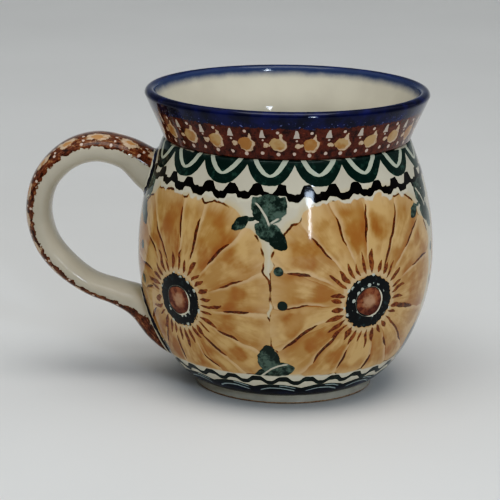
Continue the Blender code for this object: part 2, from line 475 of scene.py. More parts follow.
def feed(socket, value):
    if isinstance(value, Wire):
        Wire.tree.links.new(value.socket, socket)
    else:
        socket.default_value = value


def sums(operation, *values):
    node = add_node("ShaderNodeMath", operation=operation)
    for socket, value in zip(node.inputs, values):
        feed(socket, value)
    return Wire(node.outputs[0])


def absolute(value):
    return sums("ABSOLUTE", value)


def lesser(a, b):
    return sums("MINIMUM", a, b)


def greater(a, b):
    return sums("MAXIMUM", a, b)


def root(value):
    return sums("SQRT", value)


def at_least(value, edge):
    return sums("GREATER_THAN", value, edge)


def remainder(value, cycle):
    return sums("FLOORED_MODULO", value, cycle)


def step(value, low, high):
    """0 below low, 1 above high and smooth between; low may be above high to turn it round."""
    node = add_node("ShaderNodeMapRange", interpolation_type="SMOOTHSTEP")
    feed(node.inputs["Value"], value)
    feed(node.inputs["From Min"], low)
    feed(node.inputs["From Max"], high)
    return Wire(node.outputs["Result"])


def within(distance, half_width, soft=0.12):
    """1 where a distance from a stroke's middle is under its half-width."""
    return step(absolute(distance) - half_width, soft, -soft)


def under(value, limit, soft=0.12):
    return step(value - limit, soft, -soft)


def vector(x, y, z):
    node = add_node("ShaderNodeCombineXYZ")
    for socket, value in zip(node.inputs, (x, y, z)):
        feed(socket, value)
    return Wire(node.outputs[0])


def parts_of(wire):
    node = add_node("ShaderNodeSeparateXYZ")
    feed(node.inputs[0], wire)
    return [Wire(output) for output in node.outputs]


def noise(place, scale, detail=2.0, rough=0.5):
    """One smooth random number around 0, between about -0.5 and 0.5."""
    node = add_node("ShaderNodeTexNoise")
    feed(node.inputs["Vector"], place)
    node.inputs["Scale"].default_value = scale
    node.inputs["Detail"].default_value = detail
    node.inputs["Roughness"].default_value = rough
    return Wire(node.outputs["Fac"]) - 0.5


def noise_pair(place, scale, detail=2.0):
    """Two independent smooth random numbers around 0."""
    node = add_node("ShaderNodeTexNoise")
    feed(node.inputs["Vector"], place)
    node.inputs["Scale"].default_value = scale
    node.inputs["Detail"].default_value = detail
    red, green, _ = parts_of(Wire(node.outputs["Color"]))
    return red - 0.5, green - 0.5


def dice(a, b, c=0.0):
    """Three random numbers from 0 to 1 that belong to a set of whole numbers."""
    node = add_node("ShaderNodeTexWhiteNoise", noise_dimensions="3D")
    feed(node.inputs["Vector"], vector(a, b, c))
    return parts_of(Wire(node.outputs["Color"]))


def rgb(red, green, blue):
    """An sRGB colour given in 0 to 255, as the linear values that shaders take."""
    channels = [channel / 255 for channel in (red, green, blue)]
    return tuple(c / 12.92 if c <= 0.04045 else ((c + 0.055) / 1.055) ** 2.4 for c in channels) + (1.0,)


def mix(first, second, amount):
    node = add_node("ShaderNodeMix", data_type="RGBA")
    feed(node.inputs[0], amount)
    feed(node.inputs[6], first)
    feed(node.inputs[7], second)
    return Wire(node.outputs[2])


def repeat(angle, count, phase):
    """Local angle from the nearest of count evenly spaced motifs, and that motif's number."""
    pitch = 360.0 / count
    turn = (angle - phase) / pitch
    number = sums("ROUND", turn)
    return (turn - number) * pitch, remainder(number, float(count))


def object_place():
    return Wire(add_node("ShaderNodeTexCoord").outputs["Object"])


def attribute(name):
    return add_node("ShaderNodeAttribute", attribute_name=name)


def round_angle(place):
    """The angle round the vessel, 0 at the front and -90 at the handle."""
    x, y, _ = parts_of(place)
    return sums("ARCTAN2", x - AXIS_X * MM, -y) * (180 / math.pi)


def clouded(place, light, dark, scale):
    """A plain glaze with slow, faint clouds."""
    return mix(light, dark, step(noise(place, scale, 3.0), -0.2, 0.3))


def start_material(name):
    material = bpy.data.materials.new(name)
    material.use_nodes = True
    Wire.tree = material.node_tree
    return material, material.node_tree.nodes["Principled BSDF"]


def finish_glaze(shader, colour, relief, roughness, relief_height=0.00004):
    """A clear glossy coat over the painting: fine relief from the paint and a slow ripple in the glaze."""
    feed(shader.inputs["Base Color"], colour)
    feed(shader.inputs["Roughness"], roughness)
    shader.inputs["Specular IOR Level"].default_value = GLAZE_REFLECTION
    bump = add_node("ShaderNodeBump")
    bump.inputs["Strength"].default_value = 1.0
    bump.inputs["Distance"].default_value = relief_height
    feed(bump.inputs["Height"], relief)
    Wire.tree.links.new(bump.outputs["Normal"], shader.inputs["Normal"])


# ---------------------------------------------------------------- painted motifs on the belly

CREAM = rgb(205, 198, 176)
DEEP_CREAM = rgb(192, 184, 163)
GLAZE_REFLECTION = 0.22
MM_PER_DEGREE = BELLY_RADIUS * math.pi / 180
FLOWER_ANGLES = (-44.7, 33.75, 118.0, 203.0)
CLUSTER_ANGLES = (-76.0, -5.6, 73.5, 160.5, 234.0)
FLOWER_HEIGHT = 41.9
SIDE_FLOWER_DROP = 1.7
BEHIND_HANDLE = -101.0

# How far a flower reaches from its centre, the heart's sizes, and how many short strokes radiate
PETAL_SIDE, PETAL_TOP, PETAL_BOTTOM = 32.5, 34.2, 26.4
RING_RADIUS = 8.5
BUTTON_RADIUS = 4.5
DASHES = 29.0

# How often each border's motif comes round the vessel, and the borders' heights along the wall
FESTOONS, COGS, WAVES, ARCHES, STAMPS = 17, 34, 29, 15, 26
RIBBON_HEIGHT = 75.5
WAVE_HEIGHT = 12.9
ARCH_TOP = 12.1
STAMP_HEIGHT = 92.3
BLUE_HEIGHT = 97.7
COLLAR_MM_PER_DEGREE = 41.5 * math.pi / 180
STRAP_STAMP_PITCH = 8.4

# The brown lines between the petals of two different flowers. An angle is taken round the flower's
# centre, anticlockwise from the right: start angle, start radius, end angle, end radius, half-width
SIDE_STROKES = (
    ((22, 17.0, 23, 26.0, 0.24), (47, 17.5, 48, 28.0, 0.42), (69, 14.5, 74, 28.5, 0.42)),
    ((88, 19.5, 91, 29.5, 0.42), (111, 12.0, 120, 26.0, 0.34), (130, 17.0, 135, 24.0, 0.40)),
    ((153, 15.0, 161, 23.0, 0.42), (174, 14.0, 181, 20.0, 0.42), (203, 15.0, 207, 25.0, 0.36)),
    ((229, 13.0, 231, 23.0, 0.36), (250, 14.0, 257, 23.5, 0.46), (290, 18.5, 298, 25.5, 0.44)),
    ((307, 13.0, 314, 23.5, 0.42), (331, 16.0, 334, 24.0, 0.40), (356, 17.0, 359, 26.0, 0.38)),
)
FRONT_STROKES = (
    ((25, 20.5, 20, 31.0, 0.36), (45, 21.0, 43, 32.5, 0.38), (63, 10.5, 67, 32.0, 0.40)),
    ((94, 18.5, 91, 30.5, 0.38), (114, 20.0, 113, 30.0, 0.32), (133, 19.5, 132, 29.0, 0.36)),
    ((153, 22.0, 158, 29.0, 0.48), (180, 20.0, 181, 28.0, 0.28), (199, 18.0, 208, 32.0, 0.52)),
    ((221, 10.5, 229, 26.5, 0.48), (251, 16.5, 252, 24.5, 0.40), (285, 20.0, 279, 26.5, 0.48)),
    ((304, 16.0, 304, 21.5, 0.38), (323, 10.5, 320, 28.0, 0.34), (347, 10.0, 347, 22.0, 0.66)),
)


def nearest(angle, centres):
    """Distance along the wall from the nearest of some places round the vessel, and which one it is."""
    wrapped = angle + 360 * at_least(BEHIND_HANDLE - angle, 0.0)
    centre, number = centres[0], 0.0
    for before, after in zip(centres, centres[1:]):
        past = at_least(wrapped, (before + after) / 2)
        centre = centre + past * (after - before)
        number = number + past
    return (wrapped - centre) * MM_PER_DEGREE, number


def lookup(turn, starts, rows):
    """Four numbers from 0 to 1 that change in steps round a circle. The last row also comes first."""
    node = add_node("ShaderNodeValToRGB")
    ramp = node.color_ramp
    ramp.interpolation = "CONSTANT"
    ramp.elements[0].color = rows[-1]
    ramp.elements[1].position = starts[0]
    ramp.elements[1].color = rows[0]
    for start, row in zip(starts[1:], rows[1:]):
        ramp.elements.new(start).color = row
    feed(node.inputs["Fac"], turn)
    red, green, blue = parts_of(Wire(node.outputs["Color"]))
    return red, green, blue, Wire(node.outputs["Alpha"])


def side_stroke(turn, reach, groups):
    """Distance from the nearest line between petals, its half-width there, and two numbers per petal."""
    strokes = [stroke for group in groups for stroke in group]
    angles = [(stroke[0] + stroke[2]) / 2 / 360 for stroke in strokes]
    starts = [(before + after) / 2 for before, after in zip([angles[-1] - 1] + angles, angles)]
    rows = [(a / 360, start / 40, end / 40, (b - a + 15) / 30) for a, start, b, end, _ in strokes]
    place, start, end, lean = lookup(turn, starts, rows)
    width, *_ = lookup(turn, starts, [(stroke[4], 0, 0, 1) for stroke in strokes])
    tones = []
    for index in range(len(strokes)):
        tones.append((0.5 + 0.5 * math.sin(2.4 * index), 0.5 + 0.5 * math.cos(3.7 * index), 0, 1))
    tone, pool, _, _ = lookup(turn, angles, tones)
    travel = (reach / 40 - start) / (end - start)
    off = turn - place - (lean * 30 - 15) / 360 * lesser(greater(travel, 0.0), 1.0)
    off = (off - sums("ROUND", off)) * reach * (2 * math.pi)
    fullness = greater(travel * (1.0 - travel) * 4.0, 0.0) ** 0.6
    return off, width * fullness, tone, pool


def petal_depth(place, x, y, reach, swing, number):
    """How far a place lies inside the scalloped edge of a flower; less than 0 outside it."""
    lower = step(y, 0.5, -0.5)
    power = 2.7 + 2.3 * lower
    round_x = (absolute(x) / PETAL_SIDE) ** power
    round_y = (absolute(y) / (PETAL_TOP - (PETAL_TOP - PETAL_BOTTOM) * lower)) ** power
    outward = (round_x + round_y) ** (1.0 / power)
    notch = step(absolute(swing), 0.09, 0.0) * 0.04
    tip_lift = noise(vector(x / reach, y / reach, number * 5.0), 3.0, 1.0) * 0.085
    return (1.0 - notch + tip_lift - outward) * PETAL_SIDE


def petal_wash(place, x, y, reach, swing, depth, number, tone, pool_place):
    """Streaked ochre with orange pools, darker on one side of a line, paler on the other and at the tips."""
    streak = noise(vector(x / reach * 3.0, y / reach * 3.0, reach * 0.02 + number * 3.0), 5.0, 4.0, 0.6)
    cloud = noise(place, 150.0, 3.0)
    pool = noise(vector(x / reach * 1.4, y / reach * 1.4, reach * 0.045 + number * 7.3), 2.1, 2.0)
    washed = step(streak * 0.5 + cloud + (tone - 0.5) * 0.2, -0.16, 0.14)
    wash = mix(rgb(202, 163, 108), rgb(174, 129, 79), washed)
    ring_pool = step(absolute(reach - 17.0 - 9.0 * pool_place), 6.5, 1.0) * step(absolute(swing), 0.01, 0.14)
    pooled = step(pool + cloud * 0.2 + ring_pool * 0.22, 0.02, 0.22) * step(reach, 10.0, 15.0)
    wash = mix(wash, rgb(150, 90, 42), pooled * step(depth, 0.4, 4.5) * (0.62 + cloud))
    outer = step(reach, 12.0, 17.0)
    beside = step(swing, 0.16, 0.01) * step(swing, -0.012, 0.0) * outer
    wash = mix(wash, rgb(146, 84, 40), beside * (0.34 + 0.4 * tone + pool))
    before = step(swing, -0.07, -0.01) * step(swing, 0.004, -0.004) * outer
    wash = mix(wash, rgb(214, 182, 140), before * 0.5)
    paler = step(depth, 6.0, 0.2) * (0.45 + 1.7 * streak)
    wash = mix(wash, rgb(208, 174, 126), lesser(greater(paler, 0.0), 1.0))
    return mix(wash, rgb(186, 145, 100), step(reach, 13.5, 9.0) * 0.7)


def petal_lines(place, off, half, depth):
    """The brush lines between petals, and broken ones along their tips."""
    ragged = noise(place, 900.0, 2.0) * 0.28
    side_line = under(absolute(off) + ragged, half * 1.3, 0.09) * step(half, 0.02, 0.12)
    skipped = step(noise(place, 150.0, 1.0), -0.04, 0.03)
    tip_line = within(depth - 0.3 + ragged * 2.0, 0.34 * skipped, 0.1) * skipped
    return greater(side_line * step(depth, -0.3, 0.2), tip_line)


def petals(colour, place, x, y, number):
    """The petals of one flower over the ground. The third and fourth flowers are turned copies."""
    reach = greater(root(x * x + y * y), 0.5)
    sway = noise(place, 190.0, 1.0) * 0.012
    turn = remainder(sums("ARCTAN2", y, x) / (2 * math.pi) + sway, 1.0)
    copied = at_least(number, 1.5)
    shown = remainder(turn + copied * 0.41, 1.0)
    kind = number - 2.0 * copied
    side_view = side_stroke(shown, reach, SIDE_STROKES)
    front_view = side_stroke(shown, reach, FRONT_STROKES)
    off, half, tone, pool_place = [a + (b - a) * kind for a, b in zip(side_view, front_view)]
    swing = off / reach

    depth = petal_depth(place, x, y, reach, swing, number)
    shape = step(depth + noise(place, 700.0, 2.0) * 0.5, -0.12, 0.14)
    colour = mix(colour, rgb(196, 174, 128), step(depth, -2.6, 0.0) * 0.6)
    colour = mix(colour, petal_wash(place, x, y, reach, swing, depth, number, tone, pool_place), shape)
    lines = petal_lines(place, off, half, depth)
    line_colour = mix(rgb(104, 52, 22), rgb(58, 26, 12), step(noise(place, 900.0), -0.14, 0.08))
    return mix(colour, line_colour, lines * 0.94), lines


def flower_heart(colour, place, x, y, number):
    """The dabbed dark ring, its brown button, and the short strokes that radiate from it."""
    reach = greater(root(x * x + y * y), 0.3)
    turn = sums("ARCTAN2", y, x)
    halo = step(absolute(reach - 9.4 - noise(place, 420.0) * 2.2), 1.2, 0.4)
    colour = mix(colour, rgb(206, 180, 138), halo * 0.6)

    spread = turn * (DASHES / (2 * math.pi)) + noise(place, 210.0, 1.0) * 0.9
    stroke = sums("ROUND", spread)
    reach_dice, width_dice, tilt_dice = dice(remainder(stroke, DASHES), number, 5.0)
    travel = (reach - 8.9 - 0.7 * tilt_dice) / (4.0 + 4.6 * reach_dice * reach_dice)
    fullness = greater(travel * (1.0 - travel) * 4.0, 0.0) ** 0.8
    off = (spread - stroke) * reach * (2 * math.pi / DASHES) + (tilt_dice - 0.5) * 0.3 * (reach - 9.0)
    dash = under(absolute(off), (0.48 + 0.40 * width_dice) * fullness, 0.09) * step(fullness, 0.02, 0.2)
    dash_colour = mix(rgb(128, 70, 32), rgb(84, 38, 17), step(noise(place, 1100.0), -0.12, 0.08))
    colour = mix(colour, dash_colour, dash * 0.95)

    ragged = noise(place, 850.0, 2.0) * 1.7 + noise(place, 330.0, 1.0) * 1.1
    ring = under(reach, RING_RADIUS + ragged, 0.15)
    dab = noise(place, 620.0, 2.0)
    colour = mix(colour, mix(rgb(13, 17, 19), rgb(40, 54, 54), step(dab, 0.06, 0.26)), ring)
    cells = add_node("ShaderNodeTexVoronoi")
    feed(cells.inputs["Vector"], place)
    cells.inputs["Scale"].default_value = 640.0
    picked, _, _ = parts_of(Wire(cells.outputs["Color"]))
    fleck = under(Wire(cells.outputs["Distance"]) + dab * 0.5, 0.38, 0.06) * at_least(picked, 0.5)
    fleck = fleck * step(absolute(reach - 7.0), 0.5, 1.1) * step(absolute(reach - 7.0), 2.3, 1.9)
    colour = mix(colour, rgb(186, 192, 178), fleck * 0.88)

    button = under(reach, BUTTON_RADIUS + noise(place, 300.0) * 0.6, 0.12)
    rust = mix(rgb(88, 44, 28), rgb(136, 84, 58), step(noise(place, 520.0, 3.0), -0.1, 0.12))
    rust = mix(rust, rgb(182, 140, 110), step(reach + noise(place, 700.0, 2.0) * 3.0, 3.2, 0.8) * 0.8)
    rust = mix(rust, rgb(66, 28, 20), step(y - x * 0.3, -0.6, -3.4) * 0.6)
    colour = mix(colour, rust, button)
    lit_side = (x * 0.9 - y * 0.4) / reach
    crescent = within(reach - BUTTON_RADIUS - 0.35, 0.26 * step(lit_side, 0.1, 0.7), 0.1)
    return mix(colour, rgb(208, 200, 176), crescent), greater(ring, dash)


# Leaves of one cluster: sideways from its middle, height along the wall, direction, half-length, half-width
LEAVES = (
    (-3.5, 71.0, -52, 5.2, 2.9),
    (1.9, 71.3, 58, 5.0, 2.7),
    (-1.0, 74.2, 2, 5.2, 1.8),
    (-0.8, 65.0, -24, 4.8, 3.0),
    (1.9, 62.6, -42, 4.2, 2.5),
    (-10.0, 66.9, 33, 3.4, 1.8),
    (-6.9, 68.3, 14, 2.6, 0.6),
    (-0.6, 22.7, 96, 6.4, 3.9),
    (2.7, 18.5, 14, 6.2, 3.2),
    (-3.2, 17.4, 34, 4.2, 1.7),
)
VEINS = (
    (-2.9, 70.2, -52, 4.6),
    (1.2, 68.0, 29, 1.9),
    (0.3, 18.9, 30, 6.4),
)
DOTS = ((2.9, 53.1), (4.0, 42.4))


def turned_axes(x, y, centre_x, centre_y, degrees):
    """A place as seen along and across a direction from a centre."""
    cosine, sine = math.cos(math.radians(degrees)), math.sin(math.radians(degrees))
    off_x, off_y = x - centre_x, y - centre_y
    return off_x * cosine + off_y * sine, off_y * cosine - off_x * sine


def leaves(colour, place, x, along):
    """The brushed green leaves, their pale veins and two dots in each gap between flowers."""
    ragged = noise(place, 600.0, 3.0) * 1.5
    covered = 0.0
    for sideways, height, degrees, half_length, half_width in LEAVES:
        u, v = turned_axes(x, along, sideways, height, degrees)
        taper = greater(1.0 - (u / half_length) * (u / half_length), 0.0) ** 0.8
        leaf = under(absolute(v) + ragged, half_width * taper, 0.15) * step(taper, 0.0, 0.1)
        covered = greater(covered, leaf)
    for sideways, height in DOTS:
        u, v = turned_axes(x, along, sideways, height, 0)
        covered = greater(covered, under(root(u * u + v * v), 1.5, 0.15))
    brush = noise(place, 480.0, 3.0, 0.7)
    green = mix(rgb(30, 44, 38), rgb(84, 98, 88), step(brush + noise(place, 120.0, 1.0), -0.1, 0.2))
    colour = mix(colour, green, covered)
    for sideways, height, degrees, half_length in VEINS:
        u, v = turned_axes(x, along, sideways, height, degrees)
        vein = within(v + 0.03 * u * u - 0.3, 0.30, 0.12) * step(absolute(u), half_length, half_length - 1.0)
        colour = mix(colour, CREAM, vein * 0.85)
    return colour, covered


def scallops(colour, place, angle, along):
    """The row of green festoons that hangs from the crease."""
    local, _ = repeat(angle, FESTOONS, -6.9)
    down = CREASE - along
    wide = absolute(local)
    dark = under(down, 8.1 * (1.0 - (wide / 11.6) ** 2.6), 0.14)
    outer = 5.3 * (1.0 - (wide / 8.3) ** 2.0)
    inner = 4.5 * (1.0 - (wide / 5.9) ** 1.4)
    ribbon = under(down, outer, 0.12) * step(down - inner, -0.12, 0.12)
    brush = noise(place, 420.0, 3.0, 0.65)
    green = mix(rgb(17, 42, 35), rgb(46, 76, 66), step(brush, 0.0, 0.26))
    colour = mix(colour, green, dark)
    colour = mix(colour, rgb(190, 194, 172), ribbon)
    # A thin cream line just under the crease, broken here and there: a painted highlight along the crease's
    # edge.
    cream_shows = under(down, 0.35, 0.15) * step(noise(place, 90.0), 0.02, 0.08)
    return mix(colour, CREAM, cream_shows * 0.8), dark - dark * ribbon


def zigzag(colour, place, angle, along):
    """The black cogged ribbon under the festoons, with a ragged cream margin below it."""
    local, number = repeat(angle, COGS, -1.7)
    lift, _, _ = dice(number, 2.0)
    sway, swell = noise_pair(place, 330.0, 1.0)
    tooth = step(absolute(local + sway * 2.4), 3.5, 1.3)
    off = along - RIBBON_HEIGHT - 1.9 * tooth - (lift - 0.5) * 0.7 + sway * 1.2
    half = 1.2 + 0.5 * tooth + swell * 1.1
    margin = step(off + half, 0.15, -0.15) * step(off + half + noise(place, 330.0) * 2.4, -1.5, -0.9)
    colour = mix(colour, CREAM, margin * 0.9)
    ribbon = within(off, half, 0.14)
    ink = mix(rgb(12, 9, 9), rgb(34, 32, 30), step(noise(place, 500.0), 0.12, 0.3))
    return mix(colour, ink, ribbon), ribbon


def base_bands(colour, place, angle, along):
    """The wavy line, the row of arches and the dark band above the foot."""
    below = under(along, 16.2 + noise(place, 300.0), 0.4)
    local, _ = repeat(angle, WAVES, -0.2)
    tooth = step(absolute(local), 5.4, 1.4)
    wave = within(along - WAVE_HEIGHT - 1.8 * tooth, 0.95 + 0.15 * tooth, 0.14)
    arch_angle, _ = repeat(angle, ARCHES, -3.0)
    bend = (arch_angle / 12.0) * (arch_angle / 12.0)
    solid = under(along, ARCH_TOP - 1.9 * bend, 0.14) * step(along, 2.9, 3.2)
    uneven = noise(place, 260.0) * 0.8
    below_top = along - ARCH_TOP + uneven
    pale = within(below_top + 2.2 + 3.4 * bend, 0.4, 0.1) * step(absolute(arch_angle), 9.6, 8.2)
    second = within(below_top + 0.7 + 2.6 * bend, 0.28, 0.1) * step(arch_angle, 9.8, 8.4)
    pale = greater(pale, second * step(arch_angle + uneven * 6.0, 0.6, 1.6))
    colour = mix(colour, CREAM, below)
    green = mix(rgb(16, 26, 24), rgb(36, 52, 47), step(noise(place, 450.0), 0.02, 0.22))
    navy = mix(rgb(14, 15, 26), rgb(20, 26, 56), step(noise(place, 260.0), -0.1, 0.2))
    colour = mix(colour, mix(navy, green, step(along, 8.5, 10.5)), greater(wave, solid))
    return mix(colour, rgb(150, 162, 160), pale * 0.9), greater(wave, solid)


def flower_glaze():
    """The belly: the whole painting outside, plain cream inside and underneath."""
    material, shader = start_material("painted_flower_glaze")
    place = object_place()
    true_along = Wire(attribute("along").outputs["Fac"])
    slow_a, slow_b = noise_pair(place, 110.0, 1.0)
    quick_a, quick_b = noise_pair(place, 800.0, 2.0)
    angle = round_angle(place) + slow_a * 1.6 + quick_a * 0.35
    along = true_along + slow_b * 1.3 + quick_b * 0.35

    ground = clouded(place, CREAM, DEEP_CREAM, 60.0)
    x, number = nearest(angle, FLOWER_ANGLES)
    y = along - FLOWER_HEIGHT + SIDE_FLOWER_DROP * (1.0 - remainder(number, 2.0))
    colour, line_relief = petals(ground, place, x, y, number)
    colour, heart_relief = flower_heart(colour, place, x, y, number)
    cluster_x, _ = nearest(angle, CLUSTER_ANGLES)
    colour, ribbon_relief = zigzag(colour, place, angle, along)
    colour, leaf_relief = leaves(colour, place, cluster_x, along)
    colour, festoon_relief = scallops(colour, place, angle, along)
    colour, base_relief = base_bands(colour, place, angle, along)

    plain = greater(at_least(true_along, INSIDE / 2), at_least(-true_along, -2.9))
    colour = mix(colour, ground, plain)
    paint = line_relief * 0.4 + heart_relief * 0.7 + ribbon_relief + leaf_relief * 0.5
    paint = paint + festoon_relief * 0.6 + base_relief * 0.6
    ripple = noise(place, 45.0, 2.0) * 4.0 + noise(place, 700.0, 2.0) * 0.25
    finish_glaze(shader, colour, paint * (1.0 - plain) * 0.5 + ripple, 0.07)
    return material


# ---------------------------------------------------------------- stamped brown bands

def stamped_blossom(colour, place, x, y, chance):
    """One sponge stamp at (0, 0): an ochre disc in a cream burst, with a drop beside it and a tip above."""
    ragged_x, ragged_y = noise_pair(place, 560.0, 2.0)
    x = x + ragged_x * 1.9
    y = y + ragged_y * 1.9
    pale = mix(rgb(206, 178, 146), rgb(172, 128, 96), step(noise(place, 900.0, 2.0), 0.02, 0.24))
    burst = under(root((x - 0.5) * (x - 0.5) + (y + 0.25) * (y + 0.25)), 2.45, 0.14)
    drop = under(root((x + 3.3) * (x + 3.3) * 0.6 + (y + 0.35) * (y + 0.35)), 0.80, 0.12)
    tip = under(absolute(x - 1.3), 0.62 - 0.34 * (y - 2.4), 0.12) * within(y - 2.2, 1.5, 0.1)
    colour = mix(colour, pale, greater(greater(burst, drop), tip) * 0.92)
    disc = under(root(x * x + y * y), 2.15, 0.14)
    faded = step(noise(place, 260.0, 2.0) + chance * 0.4, 0.1, 0.4)
    ochre = mix(rgb(164, 112, 64), rgb(184, 148, 102), faded)
    return mix(colour, ochre, disc)


def stamped_dots(colour, x, y, spots):
    """Small cream dots at the given places."""
    shown = 0.0
    for spot_x, spot_y, radius in spots:
        off_x, off_y = x - spot_x, y - spot_y
        shown = greater(shown, under(root(off_x * off_x + off_y * off_y), radius, 0.12))
    return mix(colour, rgb(214, 190, 172), shown * 0.9)


def stamped_ground(place):
    mottled = noise(place, 420.0, 4.0, 0.75)
    brown = mix(rgb(44, 16, 11), rgb(88, 42, 27), step(mottled, -0.16, 0.06))
    return mix(brown, rgb(140, 86, 56), step(mottled, 0.08, 0.26) * 0.8)


def collar_glaze():
    """The collar: stamped brown band, blue lip with a speckled edge, cream inside."""
    material, shader = start_material("stamped_collar_glaze")
    place = object_place()
    along = Wire(attribute("along").outputs["Fac"])
    slow_a, slow_b = noise_pair(place, 160.0, 1.0)
    angle = round_angle(place)
    local, number = repeat(angle + slow_a * 1.2, STAMPS, -3.9)
    chance, lift, _ = dice(number, 4.0)
    x = local * COLLAR_MM_PER_DEGREE
    y = along - STAMP_HEIGHT + slow_b * 0.8 + (lift - 0.5) * 0.5
    colour = stamped_blossom(stamped_ground(place), place, x, y, chance)
    drop_angle, _ = repeat(angle + slow_a * 1.2, STAMPS, -10.0)
    drop_x = absolute(drop_angle * COLLAR_MM_PER_DEGREE + noise(place, 800.0) * 0.5)
    drop_y = along - STAMP_HEIGHT - 3.6
    drop = under(drop_x, 0.636 - 0.24 * drop_y, 0.1) * within(drop_y, 1.4, 0.1)
    colour = mix(colour, rgb(198, 184, 168), drop * 0.9)
    spots = ((0.1, -3.6, 0.62), (-4.7, -3.2, 0.58), (5.4, -3.2, 0.58), (0.2, 4.3, 0.5), (-4.3, 1.5, 0.34))
    colour = stamped_dots(colour, x, y, spots)

    speck = noise(place, 1500.0, 1.0)
    blue_edge = along + noise(place, 500.0, 3.0) * 1.6 + speck * 1.4
    navy = mix(rgb(17, 21, 44), rgb(25, 33, 76), step(noise(place, 240.0, 3.0), -0.15, 0.25))
    # Paler blue over the lip and down the inside: partly the glaze running thinner at the lip's edge, partly
    # painted light where the lip faces up.
    navy = mix(navy, rgb(62, 76, 106), step(along, LIP_START + 2.8, LIP_START + 5.2))
    blue = step(blue_edge, BLUE_HEIGHT, BLUE_HEIGHT + 0.5)
    colour = mix(colour, navy, blue)
    stain = blue * step(along, BLUE_HEIGHT + 3.3, BLUE_HEIGHT + 0.7) * step(speck, 0.17, 0.22)
    colour = mix(colour, rgb(120, 126, 168), stain * 0.7)
    inner_edge = LIP_START + math.pi * LIP_RADIUS + 1.2
    inner = step(along + noise(place, 160.0, 2.0) * 1.4 + speck * 0.4, inner_edge - 1.6, inner_edge + 1.8)
    colour = mix(colour, clouded(place, CREAM, DEEP_CREAM, 60.0), inner)
    ripple = noise(place, 45.0, 2.0) * 4.0 + noise(place, 700.0, 2.0) * 0.25
    finish_glaze(shader, colour, ripple + (1.0 - blue) * noise(place, 650.0) * 1.2, 0.07)
    return material


def strap_glaze():
    """The handle: stamped brown over its back with a ragged edge, cream on the sides and within the loop."""
    material, shader = start_material("stamped_strap_glaze")
    place = object_place()
    length, across, crest = parts_of(Wire(attribute("strap").outputs["Vector"]))
    streak = noise(vector(length * 0.08, across * 0.3, crest * 2.0), 5.0, 4.0, 0.7)
    mottled = noise(place, 480.0, 4.0, 0.75) * 0.85 + streak * 0.8
    brown = mix(rgb(46, 26, 18), rgb(104, 62, 40), step(mottled, -0.14, 0.04))
    colour = mix(brown, rgb(168, 122, 84), step(mottled, 0.06, 0.2) * 0.85)
    colour = mix(colour, rgb(196, 168, 132), step(mottled, 0.22, 0.3) * 0.8)
    for side, shift in ((1.0, 3.0), (-1.0, 7.2)):
        turn = (length - shift + noise(place, 160.0) * 1.5) / STRAP_STAMP_PITCH
        number = sums("ROUND", turn)
        chance, slide, _ = dice(number, 9.0 + side)
        x = (turn - number) * STRAP_STAMP_PITCH
        y = across * side - 4.3 + (slide - 0.5) * 1.2
        burst = under(root(x * x * 0.7 + y * y) + noise(place, 420.0, 3.0, 0.7) * 4.4, 2.2, 0.3)
        stamp = mix(rgb(206, 180, 148), rgb(176, 128, 92), step(mottled, 0.0, 0.2))
        colour = mix(colour, stamp, burst * 0.9)
        centre = under(root(x * x + y * y) + noise(place, 600.0, 3.0) * 3.0, 0.9 + 0.6 * chance, 0.3)
        colour = mix(colour, rgb(178, 124, 74), centre * 0.9)
        spots = ((4.1, 1.3, 0.5), (3.7, -1.2, 0.45), (-3.8, 2.9, 0.4))
        colour = stamped_dots(colour, x, y, spots)
    ragged = noise(place, 520.0, 2.0) * 0.55 + noise(place, 1300.0, 1.0) * 0.2
    # The handle's cream is the belly's cream glaze painted a little darker: painted shade.
    cream = clouded(place, rgb(188, 179, 158), rgb(174, 165, 145), 70.0)
    edge = crest + ragged - STRAP_PAINT_EDGE + 0.42 * step(length, STRAP_TAIL - 14.0, STRAP_TAIL)
    cream_shows = step(edge, 0.03, -0.03)
    fringe = step(edge, 0.18, 0.03)
    colour = mix(colour, rgb(66, 32, 18), fringe * 0.55)
    colour = mix(colour, cream, cream_shows)
    ripple = noise(place, 50.0, 2.0) * 4.0 + noise(place, 600.0, 2.0) * 0.3
    finish_glaze(shader, colour, ripple + (1.0 - cream_shows) * 0.5, 0.08)
    return material


def foot_clay():
    """The foot ring: cream glaze on its side, worn to bare buff clay where it stands."""
    material, shader = start_material("worn_foot_clay")
    place = object_place()
    along = Wire(attribute("along").outputs["Fac"])
    worn = step(along + noise(place, 900.0, 3.0) * 0.7, 0.75, 0.35)
    cream = clouded(place, rgb(178, 173, 158), rgb(162, 157, 143), 200.0)
    clay = mix(rgb(128, 98, 72), rgb(164, 138, 108), step(noise(place, 1300.0, 3.0, 0.7), -0.15, 0.15))
    colour = mix(cream, clay, worn)
    grain = noise(place, 2400.0, 3.0, 0.7) * worn * 2.0 + noise(place, 200.0, 2.0)
    finish_glaze(shader, colour, grain, 0.16 + 0.6 * worn)
    return material


def joint_slip():
    """The slip round the handle's ends, painted over with an uneven dark line."""
    material, shader = start_material("painted_joint_slip")
    place = object_place()
    across = Wire(attribute("across").outputs["Fac"])
    dark = mix(rgb(16, 16, 30), rgb(30, 40, 74), step(noise(place, 300.0, 2.0), -0.1, 0.2))
    cream = clouded(place, CREAM, DEEP_CREAM, 90.0)
    colour = mix(dark, cream, step(across + noise(place, 350.0, 2.0) * 0.8, 0.62, 0.8))
    finish_glaze(shader, colour, noise(place, 500.0, 2.0) * 1.5, 0.09)
    return material


# ---------------------------------------------------------------- stage


